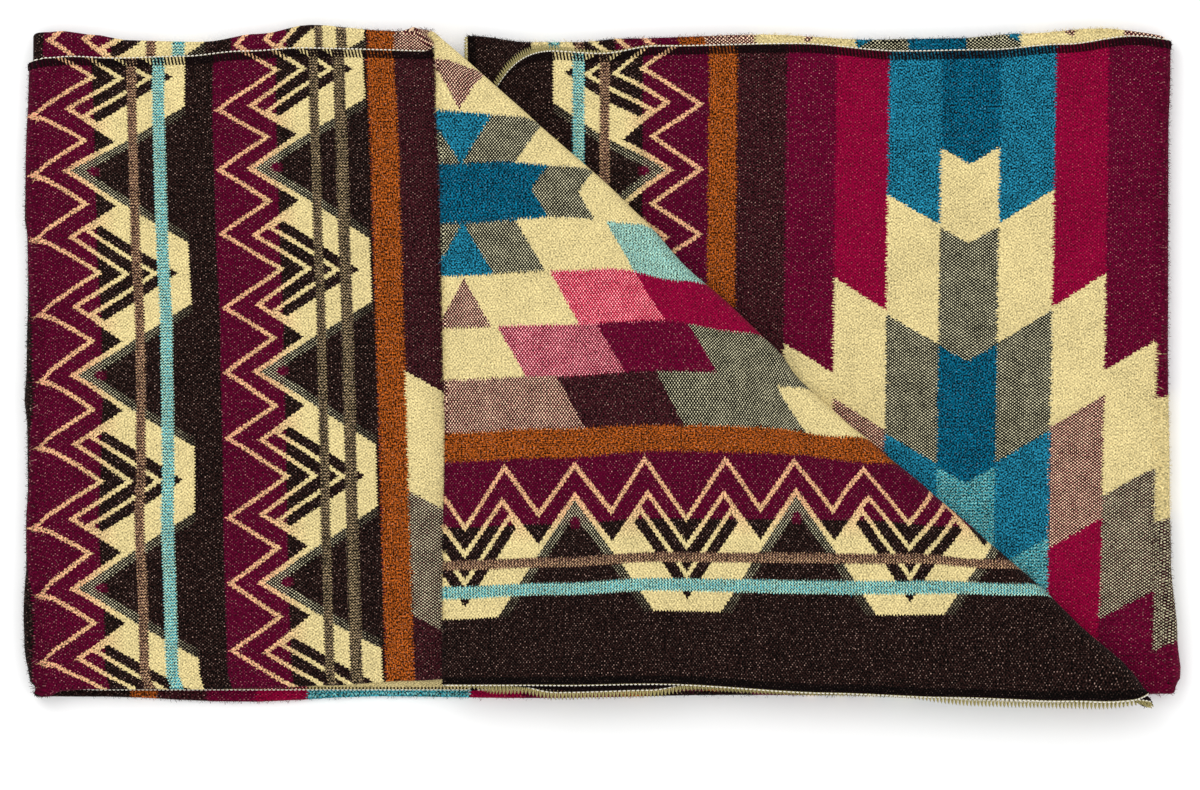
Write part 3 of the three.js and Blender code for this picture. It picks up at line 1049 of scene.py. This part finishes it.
def heathered(tree, colour, weave, true_along, true_across):
    """The charted colour with pale dots, heather, soft clouds, shade and light painted by the
    weave's height, and a darker hem.
    """
    dots = Wire(tree, weave.outputs["Dots"])
    cloud = Wire(tree, weave.outputs["Cloud"])
    heather = Wire(tree, weave.outputs["Heather"])
    height = Wire(tree, weave.outputs["Height"])
    lightness = tree.nodes.new("ShaderNodeRGBToBW")
    tree.links.new(colour, lightness.inputs[0])
    light = Wire(tree, lightness.outputs[0])
    dark = (light * -12.0 + 1.0).most(0.0)
    colour = Paint(tree).over(colour, linear(DOT_COLOUR), dots * dark * DOT_SHARE)
    parts = tree.nodes.new("ShaderNodeSeparateColor")
    tree.links.new(colour, parts.inputs[0])
    red, green, blue = (Wire(tree, socket) for socket in parts.outputs)
    dull = (green / (red + blue + 0.001) * 3.2 + 0.3).least(1.0)
    from_hem = true_along.least((true_along * -1.0) + LENGTH)
    from_hem = from_hem.least(true_across).least((true_across * -1.0) + WIDTH)
    in_hem = (from_hem < HEM_SHADE) * (light * -4.0 + 1.0).most(0.0)
    shade = tree.nodes.new("ShaderNodeHueSaturation")
    strength = (light * -1.4 + 1.1).most(0.23) * dull
    value = heather * strength * HEATHER + PLAIN_SHADE
    # Painted shade and light by the weave's height: lower places darker, raised threads lighter
    value = value + (height - 0.4) * HOLLOW_PAINTED_SHADE + (cloud - 0.5) * CLOUD_SHADE
    value = value.most(DARKEST_SHADE) * (in_hem * -HEM_DARKER + 1.0)
    tree.links.new(value.socket, shade.inputs["Value"])
    tree.links.new(colour, shade.inputs["Color"])
    return shade.outputs[0]


def set_surface(tree, height, bump_strength, bump_height, roughness, shine):
    """Bump, roughness and shine of a material's shader, which it returns."""
    shader = tree.nodes["Principled BSDF"]
    bump = tree.nodes.new("ShaderNodeBump")
    bump.inputs["Strength"].default_value = bump_strength
    bump.inputs["Distance"].default_value = bump_height
    tree.links.new(height, bump.inputs["Height"])
    tree.links.new(bump.outputs[0], shader.inputs["Normal"])
    shader.inputs["Roughness"].default_value = roughness
    shader.inputs["Specular IOR Level"].default_value = shine
    return shader


def cloth_material(name, groups, reverse):
    """The brushed cloth of one side, by the cloth's own map."""
    material = bpy.data.materials.new(name)
    material.use_nodes = True
    tree = material.node_tree
    cloth_map = tree.nodes.new("ShaderNodeUVMap")
    cloth_map.uv_map = "Cloth"
    apart = tree.nodes.new("ShaderNodeSeparateXYZ")
    tree.links.new(cloth_map.outputs["UV"], apart.inputs[0])
    true_along = Wire(tree, apart.outputs[0]) / MM
    true_across = Wire(tree, apart.outputs[1]) / MM
    weave = use_group(tree, groups["weave"], Along=true_along, Across=true_across)
    colour = charted_colour(tree, groups, weave, reverse)
    colour = heathered(tree, colour, weave, true_along, true_across)
    shader = set_surface(tree, weave.outputs["Height"], bump_strength=0.55,
                         bump_height=0.6 * MM, roughness=0.95, shine=0.03)
    tree.links.new(colour, shader.inputs["Base Color"])
    shader.inputs["Sheen Weight"].default_value = 0.02
    shader.inputs["Sheen Roughness"].default_value = 0.6


def thread_material(name, colour, wool):
    """Twisted sewing thread, or woolly thread with more colour change."""
    material = bpy.data.materials.new(name)
    material.use_nodes = True
    tree = material.node_tree
    spots = tree.nodes.new("ShaderNodeTexCoord")
    twist = tree.nodes.new("ShaderNodeTexNoise")
    twist.inputs["Scale"].default_value = 900.0
    twist.inputs["Detail"].default_value = 2.0
    tree.links.new(spots.outputs["Object"], twist.inputs["Vector"])
    amount = Wire(tree, twist.outputs["Fac"]) * (0.7 if wool else 0.3)
    shader = set_surface(tree, twist.outputs["Fac"], bump_strength=0.5, bump_height=0.2 * MM,
                         roughness=0.9, shine=0.05)
    dark = tuple(channel * 0.35 for channel in colour)
    tree.links.new(Paint(tree).over(colour, dark, amount), shader.inputs["Base Color"])
    return material


HEM_SHADE = 6.4
CLOTH = "blanket_cloth"
FACE = "Brushed Face"
REVERSE = "Brushed Reverse"
FIBRE_MARGIN = 0.2
FIBRE_WIDTH = 0.24


def make_cloth_materials():
    """Builds the groups and the two sides' materials once."""
    groups = {
        "weave": weave_group(),
        "band": band_group(),
        "face_blocks": blocks_group("Face Blocks", FACE_BLOCKS, -STEP_SLOPE),
        "reverse_blocks": blocks_group("Reverse Blocks", REVERSE_BLOCKS, STEP_SLOPE),
    }
    cloth_material(FACE, groups, reverse=False)
    cloth_material(REVERSE, groups, reverse=True)


def add_piece(bm, name, materials):
    """An object of a mesh, with its materials, that rides on the body."""
    mesh = bpy.data.meshes.new(name)
    bm.to_mesh(mesh)
    bm.free()
    for material in materials:
        mesh.materials.append(material)
    piece = bpy.data.objects.new(name, mesh)
    bpy.context.scene.collection.objects.link(piece)
    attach(piece, "root")
    return piece


def steps(start, end, step):
    """Places from start towards end, about a step apart, without the end."""
    count = max(1, round((end - start) / step))
    return [mix(start, end, index / count) for index in range(count)]


TURN_STEP = 2.0
TURN_MARGIN = 18.0
HIDDEN_STEP = 32.0
WIDTH_TURN_STEP = WIDTH_TURN / 6


def along_lines(net):
    """Lines across the cloth: close at the length folds, open on the run underneath."""
    places = steps(0, RIGHT_START - TURN_MARGIN, net)
    places += steps(RIGHT_START - TURN_MARGIN, UNDER_START + TURN_MARGIN, TURN_STEP)
    places += steps(UNDER_START + TURN_MARGIN, LEFT_START - TURN_MARGIN, HIDDEN_STEP)
    places += steps(LEFT_START - TURN_MARGIN, UPPER_START + TURN_MARGIN, TURN_STEP)
    return places + steps(UPPER_START + TURN_MARGIN, LENGTH, net) + [LENGTH]


def across_lines(net):
    """Lines along the cloth: close at the width folds, open on the hidden third."""
    places = steps(0, END_A, net) + steps(END_A, START_B, WIDTH_TURN_STEP)
    places += steps(START_B, END_B, HIDDEN_STEP) + steps(END_B, START_C, WIDTH_TURN_STEP)
    return places + steps(START_C, WIDTH, net) + [WIDTH]


SLIP_REACH = 150.0


def slip_weight(along):
    """1 at the length folds, where the net follows the slipped cloth, and 0 away from them."""
    gaps = [max(0.0, RIGHT_START - along, along - UNDER_START),
            max(0.0, LEFT_START - along, along - UPPER_START)]
    return ease(1 - min(gaps) / SLIP_REACH)


def flat_net(net):
    """The flat cloth as a net of faces."""
    columns = along_lines(net)
    rows = across_lines(net)
    bm = bmesh.new()
    bmesh.ops.create_grid(bm, x_segments=len(columns) - 1, y_segments=len(rows) - 1, size=1.0)
    for vert in bm.verts:
        column = columns[round((vert.co.x + 1) / 2 * (len(columns) - 1))]
        across = true_across(column, rows[round((vert.co.y + 1) / 2 * (len(rows) - 1))])
        slip = fold_thirds(column, across, 0.0)[2]
        vert.co = (column - slip * slip_weight(column), across, 0.0)
    return bm


HALVINGS = 30
SEARCH_PAST_END = 200.0


def crease_crossing(level, across):
    """Where along the cloth the crease's line at a level crosses a line of it."""
    low, high = UPPER_START + 2 * TURN_MARGIN, LENGTH + SEARCH_PAST_END
    for _ in range(HALVINGS):
        middle = (low + high) / 2
        y, _, slip = fold_thirds(middle, across, 0.0)
        x = LEFT_TURN_X + middle + slip - UPPER_START
        if from_crease(Vector((x, y)))[1] < level:
            low = middle
        else:
            high = middle
    return low


CREASE_STEPS = 12
CUT_REACH = 60.0


def cut_crease(bm):
    """Cuts the net along the crease, so that it bends there in even steps."""
    zones = ((0, END_A), (END_A, START_B), (START_B, END_B), (END_B, START_C), (START_C, WIDTH))
    for low, high in zones:
        for step in range(CREASE_STEPS + 1):
            level = CREASE_TURN * step / CREASE_STEPS
            start = Vector((crease_crossing(level, low), low, 0.0))
            end = Vector((crease_crossing(level, high), high, 0.0))
            left, right = min(start.x, end.x) - CUT_REACH, max(start.x, end.x) + CUT_REACH
            faces = []
            for face in bm.faces:
                middle = face.calc_center_median()
                if low < middle.y < high and left < middle.x < right:
                    faces.append(face)
            edges = {edge for face in faces for edge in face.edges}
            verts = {vert for face in faces for vert in face.verts}
            normal = (end - start).cross(Vector((0, 0, 1)))
            bmesh.ops.bisect_plane(bm, geom=[*verts, *edges, *faces], dist=0.2, plane_co=start,
                                   plane_no=normal.normalized())


PILE_SPREAD = 0.22
PILE_CLOUD = 14.0
SIDES_APART = 20.0


def lay_cloth_maps(bm):
    """The cloth's own map in metres, a map for baking, and each side's material."""
    cloth = bm.loops.layers.uv.new("Cloth")
    bake = bm.loops.layers.uv.new("OFBake")
    for face in bm.faces:
        lift = face.calc_center_median().z
        face.material_index = 0 if lift >= 0 else 1
        face.smooth = True
        for loop in face.loops:
            along, across, _ = loop.vert.co
            loop[cloth].uv = (along * MM, across * MM)
            half = 0.49 * across / WIDTH
            loop[bake].uv = (0.01 + 0.98 * along / LENGTH, half + (0.0 if lift >= 0 else 0.505))


class BLANKET_OT_cloth(bpy.types.Operator):
    """Make the folded cloth"""

    bl_idname = "blanket.cloth"
    bl_label = "Folded Cloth"

    def execute(self, context):
        sizes = context.scene.blanket_sizes
        half = sizes.thickness / MM / 2
        make_cloth_materials()
        bm = flat_net(sizes.net / MM)
        cut_crease(bm)
        bmesh.ops.translate(bm, vec=(0, 0, -half), verts=bm.verts)
        raised = bmesh.ops.extrude_face_region(bm, geom=bm.faces[:])
        upper = [item for item in raised["geom"] if isinstance(item, bmesh.types.BMVert)]
        bmesh.ops.translate(bm, vec=(0, 0, 2 * half), verts=upper)
        bmesh.ops.recalc_face_normals(bm, faces=bm.faces)
        round_corners(bm)
        lay_cloth_maps(bm)
        for vert in bm.verts:
            spot = Vector((vert.co.x, vert.co.y, vert.co.z * SIDES_APART)) / PILE_CLOUD
            vert.co.z += noise.noise(spot) * PILE_SPREAD
        fold_up(bm)
        bmesh.ops.recalc_face_normals(bm, faces=bm.faces)
        cloth = add_piece(bm, CLOTH, [bpy.data.materials[FACE], bpy.data.materials[REVERSE]])
        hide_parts(NODE)
        return {"FINISHED"}


def row_of(template, count, step):
    """A row of copies of a small flat mesh, as a new bmesh."""
    mesh = bpy.data.meshes.new("Stitch Row")
    template.to_mesh(mesh)
    template.free()
    holder = bpy.data.objects.new("Stitch Row", mesh)
    bpy.context.scene.collection.objects.link(holder)
    array = holder.modifiers.new("Row", "ARRAY")
    array.count = count
    array.use_relative_offset = False
    array.use_constant_offset = True
    array.constant_offset_displace = step
    copies = bpy.data.meshes.new_from_object(
        holder.evaluated_get(bpy.context.evaluated_depsgraph_get()))
    bm = bmesh.new()
    bm.from_mesh(copies)
    bpy.data.objects.remove(holder)
    bpy.data.meshes.remove(mesh)
    bpy.data.meshes.remove(copies)
    return bm


def thread_along(points, radius, sides=3):
    """A short bent thread through a few points."""
    bm = bmesh.new()
    start, second = Vector(points[0]), Vector(points[1])
    turn = (second - start).to_track_quat("Z", "Y").to_matrix().to_4x4()
    ring = bmesh.ops.create_circle(bm, cap_ends=False, segments=sides, radius=radius,
                                   matrix=Matrix.Translation(start) @ turn)
    edges = list({edge for vert in ring["verts"] for edge in vert.link_edges})
    for before, after in zip(points, points[1:]):
        grown = bmesh.ops.extrude_edge_only(bm, edges=edges)
        edges = [item for item in grown["geom"] if isinstance(item, bmesh.types.BMEdge)]
        verts = [item for item in grown["geom"] if isinstance(item, bmesh.types.BMVert)]
        bmesh.ops.translate(bm, vec=Vector(after) - Vector(before), verts=verts)
    bmesh.ops.holes_fill(bm, edges=bm.edges, sides=sides)
    bmesh.ops.recalc_face_normals(bm, faces=bm.faces)
    return bm


# How far the loops stand out past each hem
LOOPS_A = table("at reach", (0, 6.6), (50, 6.2), (85, 3.4), (130, 2.0), (200, 0.5))
LOOPS_C = table("at reach", (0, 0.5), (WIDTH, 0.5))
LOOPS_INNER = table("at reach", (0, 6.6), (200, 6.6), (300, 2.6), (WIDTH, 2.6))
LOOPS_OUTER = table("at reach", (0, 4.0), (1000, 5.6), (1040, 0.5), (WIDTH, 0.5))


def hem_rows(template, step, loops):
    """Copies of a stitch along all four hems of the flat cloth, the stitch made on the hem y = 0.

    Where loops is true, what stands past the hem is drawn out to the reach of its table.
    """
    bm = bmesh.new()
    whole = Matrix.Identity(4)
    half_turn = Matrix.Translation((LENGTH, WIDTH, 0)) @ Matrix.Rotation(math.pi, 4, "Z")
    inner = Matrix.Translation((0, WIDTH, 0)) @ Matrix.Rotation(-math.pi / 2, 4, "Z")
    outer = Matrix.Translation((LENGTH, 0, 0)) @ Matrix.Rotation(math.pi / 2, 4, "Z")
    sides = (
        (LENGTH, whole, LOOPS_A, False),
        (LENGTH, half_turn, LOOPS_C, True),
        (WIDTH, inner, LOOPS_INNER, True),
        (WIDTH, outer, LOOPS_OUTER, False),
    )
    for length, matrix, reach, backwards in sides:
        count = int(length / step)
        row = row_of(template.copy(), count, (length / count, 0, 0))
        if loops:
            for vert in row.verts:
                if vert.co.y < 0:
                    at = length - vert.co.x if backwards else vert.co.x
                    vert.co.y *= read(reach, "at", "reach", at)
        row.transform(matrix)
        mesh = bpy.data.meshes.new("Hem Row")
        row.to_mesh(mesh)
        row.free()
        bm.from_mesh(mesh)
        bpy.data.meshes.remove(mesh)
    template.free()
    return bm


SEWING = ("hem_chain", "hem_whip", "hem_loops")
WHIP_STEP = 2.75
WHIP_RADIUS = 0.74
LOOP_RADIUS = 0.62


class BLANKET_OT_hems(bpy.types.Operator):
    """Sew the overlocked hems"""

    bl_idname = "blanket.hems"
    bl_label = "Overlocked Hems"

    def execute(self, context):
        sizes = context.scene.blanket_sizes
        colours = context.scene.blanket_colours
        half = sizes.thickness / MM / 2
        stitch = sizes.stitch / MM
        hem = sizes.hem / MM
        chain = bmesh.new()
        bmesh.ops.create_icosphere(chain, subdivisions=1, radius=1.0)
        bmesh.ops.scale(chain, vec=(1.5, 0.72, half * 0.8), verts=chain.verts)
        bmesh.ops.translate(chain, vec=(stitch / 2, -0.7, 0.0), verts=chain.verts)
        whip = [(0.0, 1.5, -half - 0.1), (0.2, 0.2, -half - 0.2), (0.3, -0.2, 0.0),
                (0.4, 0.2, half + 0.1), (0.9, hem * 0.5, half + 0.2), (1.5, hem, half + 0.1),
                (1.6, hem + 0.2, half - 0.4)]
        loop = [(0.0, 0.6, -half * 0.7), (0.35, -0.4, -0.3), (0.95, -0.95, -0.1),
                (1.55, -0.4, -0.2), (1.9, 0.6, -half * 0.7)]
        rows = (
            (SEWING[0], "Chain Thread", colours.chain, False, stitch, chain),
            (SEWING[1], "Whip Thread", colours.whip, False, WHIP_STEP,
             thread_along(whip, WHIP_RADIUS, 4)),
            (SEWING[2], "Loop Thread", colours.loops, True, WHIP_STEP,
             thread_along(loop, LOOP_RADIUS)),
        )
        for name, finish, colour, wool, step, template in rows:
            bm = hem_rows(template, step, loops=wool)
            round_corners(bm)
            fold_up(bm)
            bmesh.ops.recalc_face_normals(bm, faces=bm.faces)
            for face in bm.faces:
                face.smooth = True
            add_piece(bm, name, [thread_material(finish, tuple(colour), wool)])
        return {"FINISHED"}


# Where loose fibres stand, on the flat cloth: side, place along, place across, share of them
FIBRE_ZONES = table(
    "side along_from along_to across_from across_to share",
    (1, LEFT_START, UPPER_START, 0, END_A, 0.13),
    (1, RIGHT_START, UNDER_START, 0, END_A, 0.13),
    (-1, 0, RIGHT_START, END_B, START_C, 0.07),
    (-1, UPPER_START, 1850, END_B, START_C, 0.06),
    (-1, 1850, LENGTH, END_B, START_C, 0.07),
    (1, 0, LENGTH, END_A, START_B, 0.12),
    (1, 0, RIGHT_START, 0, END_A, 0.14),
    (1, UPPER_START, 1860, 0, END_A, 0.10),
    (-1, 1850, LENGTH, START_C, WIDTH, 0.18),
)


PILE = ("pile_face", "pile_reverse")


def fibre_template():
    """A thin tapering blade of two steps, standing on the origin."""
    bm = bmesh.new()
    bmesh.ops.create_grid(bm, x_segments=1, y_segments=2, size=0.5)
    tips = [vert for vert in bm.verts if vert.co.y > 0.4]
    bmesh.ops.pointmerge(bm, verts=tips, merge_co=(0, 0.5, 0))
    bmesh.ops.translate(bm, vec=(0, 0.5, 0), verts=bm.verts)
    return bm


class BLANKET_OT_fibres(bpy.types.Operator):
    """Raise the loose fibres of the brushed pile"""

    bl_idname = "blanket.fibres"
    bl_label = "Loose Fibres"

    def execute(self, context):
        sizes = context.scene.blanket_sizes
        half = sizes.thickness / MM / 2
        draw = random.Random(11)
        for side, finish in ((1, FACE), (-1, REVERSE)):
            zones = [zone for zone in FIBRE_ZONES if zone["side"] == side]
            counts = [round(zone["share"] * sizes.fibres) for zone in zones]
            bm = row_of(fibre_template(), sum(counts), (0, 0, 0))
            bm.verts.ensure_lookup_table()
            cloth = bm.loops.layers.uv.new("Cloth")
            each = len(bm.verts) // sum(counts)
            first = 0
            for zone, count in zip(zones, counts):
                for _ in range(count):
                    along = draw.uniform(zone["along_from"], zone["along_to"])
                    across = draw.uniform(zone["across_from"], zone["across_to"])
                    self.stand(bm.verts[first:first + each], cloth, along, across,
                               side * (half - FIBRE_MARGIN), side, sizes.fibre / MM, draw)
                    first += each
            round_corners(bm)
            fold_up(bm)
            add_piece(bm, PILE[0 if side > 0 else 1], [bpy.data.materials[finish]])
        WIDTH * MM
        return {"FINISHED"}

    @staticmethod
    def stand(verts, cloth, along, across, lift, side, longest, draw):
        """Bends one blade away from the cloth at a place of it."""
        length = longest * draw.uniform(0.25, 1.0)
        rise = length * draw.uniform(0.2, 0.85)
        turn = draw.uniform(0, 2 * math.pi)
        reach = math.sqrt(length * length - rise * rise)
        ahead = Vector((math.cos(turn), math.sin(turn), 0))
        aside = Vector((-ahead.y, ahead.x, 0)) * FIBRE_WIDTH
        for vert in verts:
            part = vert.co.y
            spot = Vector((along, across, lift)) + ahead * (reach * part)
            spot += aside * vert.co.x
            spot.z += side * rise * (1 - (1 - part) ** 2)
            for loop in vert.link_loops:
                loop[cloth].uv = (along * MM, across * MM)
            vert.co = spot


# The photo's frame: its width on the blanket's top, and its middle in the plan
VIEW_WIDTH = 0.96
VIEW_HEIGHT = 6.0
VIEW_TOP = 0.03

# The stage: half the floor's size, its grey, the sky's strength, and the lamps
FLOOR_HALF = 6.0
FLOOR_GREY = 0.97
SKY_STRENGTH = 1.04
LAMPS = table(
    "name spot size power",
    ("Key", Vector((-1.4, 1.7, 2.6)), 2.0, 30.0),
    ("Fill", Vector((2.2, -0.6, 2.6)), 2.4, 6.0),
)


class BLANKET_OT_stage(bpy.types.Operator):
    """Set the pale floor, the soft light and the camera above"""

    bl_idname = "blanket.stage"
    bl_label = "Stage"

    def execute(self, context):
        scene = context.scene
        scene.view_settings.view_transform = "Standard"
        self.lay_floor(scene)
        self.hang_lights(scene)
        data = bpy.data.cameras.new("Above")
        data.sensor_fit = "HORIZONTAL"
        data.angle = 2 * math.atan(VIEW_WIDTH / 2 / (VIEW_HEIGHT - VIEW_TOP))
        camera = bpy.data.objects.new("Above", data)
        camera.location = (-MIDDLE.x * MM, -MIDDLE.y * MM, VIEW_HEIGHT)
        scene.collection.objects.link(camera)
        scene.camera = camera
        return {"FINISHED"}

    @staticmethod
    def lay_floor(scene):
        bm = bmesh.new()
        bmesh.ops.create_grid(bm, x_segments=1, y_segments=1, size=FLOOR_HALF)
        mesh = bpy.data.meshes.new("floor")
        bm.to_mesh(mesh)
        bm.free()
        material = bpy.data.materials.new("Pale Floor")
        material.use_nodes = True
        shader = material.node_tree.nodes["Principled BSDF"]
        shader.inputs["Base Color"].default_value = (FLOOR_GREY, FLOOR_GREY, FLOOR_GREY, 1)
        shader.inputs["Roughness"].default_value = 0.9
        mesh.materials.append(material)
        floor = bpy.data.objects.new("floor", mesh)
        scene.collection.objects.link(floor)

    @staticmethod
    def hang_lights(scene):
        world = bpy.data.worlds.new("Soft Sky")
        world.use_nodes = True
        sky = world.node_tree.nodes["Background"]
        sky.inputs["Color"].default_value = (1, 1, 1, 1)
        sky.inputs["Strength"].default_value = SKY_STRENGTH
        scene.world = world
        for row in LAMPS:
            data = bpy.data.lights.new(row["name"], "AREA")
            data.size = row["size"]
            data.energy = row["power"]
            lamp = bpy.data.objects.new(row["name"], data)
            lamp.location = row["spot"]
            lamp.rotation_euler = (-row["spot"]).to_track_quat("-Z", "Y").to_euler()
            scene.collection.objects.link(lamp)


class BLANKET_PT_panel(bpy.types.Panel):
    """Sizes, colours and the steps of the blanket"""

    bl_idname = "BLANKET_PT_panel"
    bl_label = "Folded Blanket"
    bl_space_type = "VIEW_3D"
    bl_region_type = "UI"
    bl_category = "Blanket"

    def draw(self, context):
        for group in (context.scene.blanket_sizes, context.scene.blanket_colours):
            for name in group.bl_rna.properties.keys():
                if name not in {"rna_type", "name"}:
                    self.layout.prop(group, name)
        for operator in OPERATORS:
            self.layout.operator(operator.bl_idname)


OPERATORS = (BLANKET_OT_cloth, BLANKET_OT_hems, BLANKET_OT_fibres, BLANKET_OT_stage)
CLASSES = (BlanketSizes, BlanketColours, *OPERATORS, BLANKET_PT_panel)


def register():
    for item in CLASSES:
        bpy.utils.register_class(item)
    bpy.types.Scene.blanket_sizes = PointerProperty(type=BlanketSizes)
    bpy.types.Scene.blanket_colours = PointerProperty(type=BlanketColours)


def unregister():
    del bpy.types.Scene.blanket_colours
    del bpy.types.Scene.blanket_sizes
    for item in reversed(CLASSES):
        bpy.utils.unregister_class(item)


def main():
    register()
    bpy.ops.blanket.cloth()
    bpy.ops.blanket.hems()
    bpy.ops.blanket.fibres()
    bpy.ops.blanket.stage()


if __name__ == "__main__":
    main()
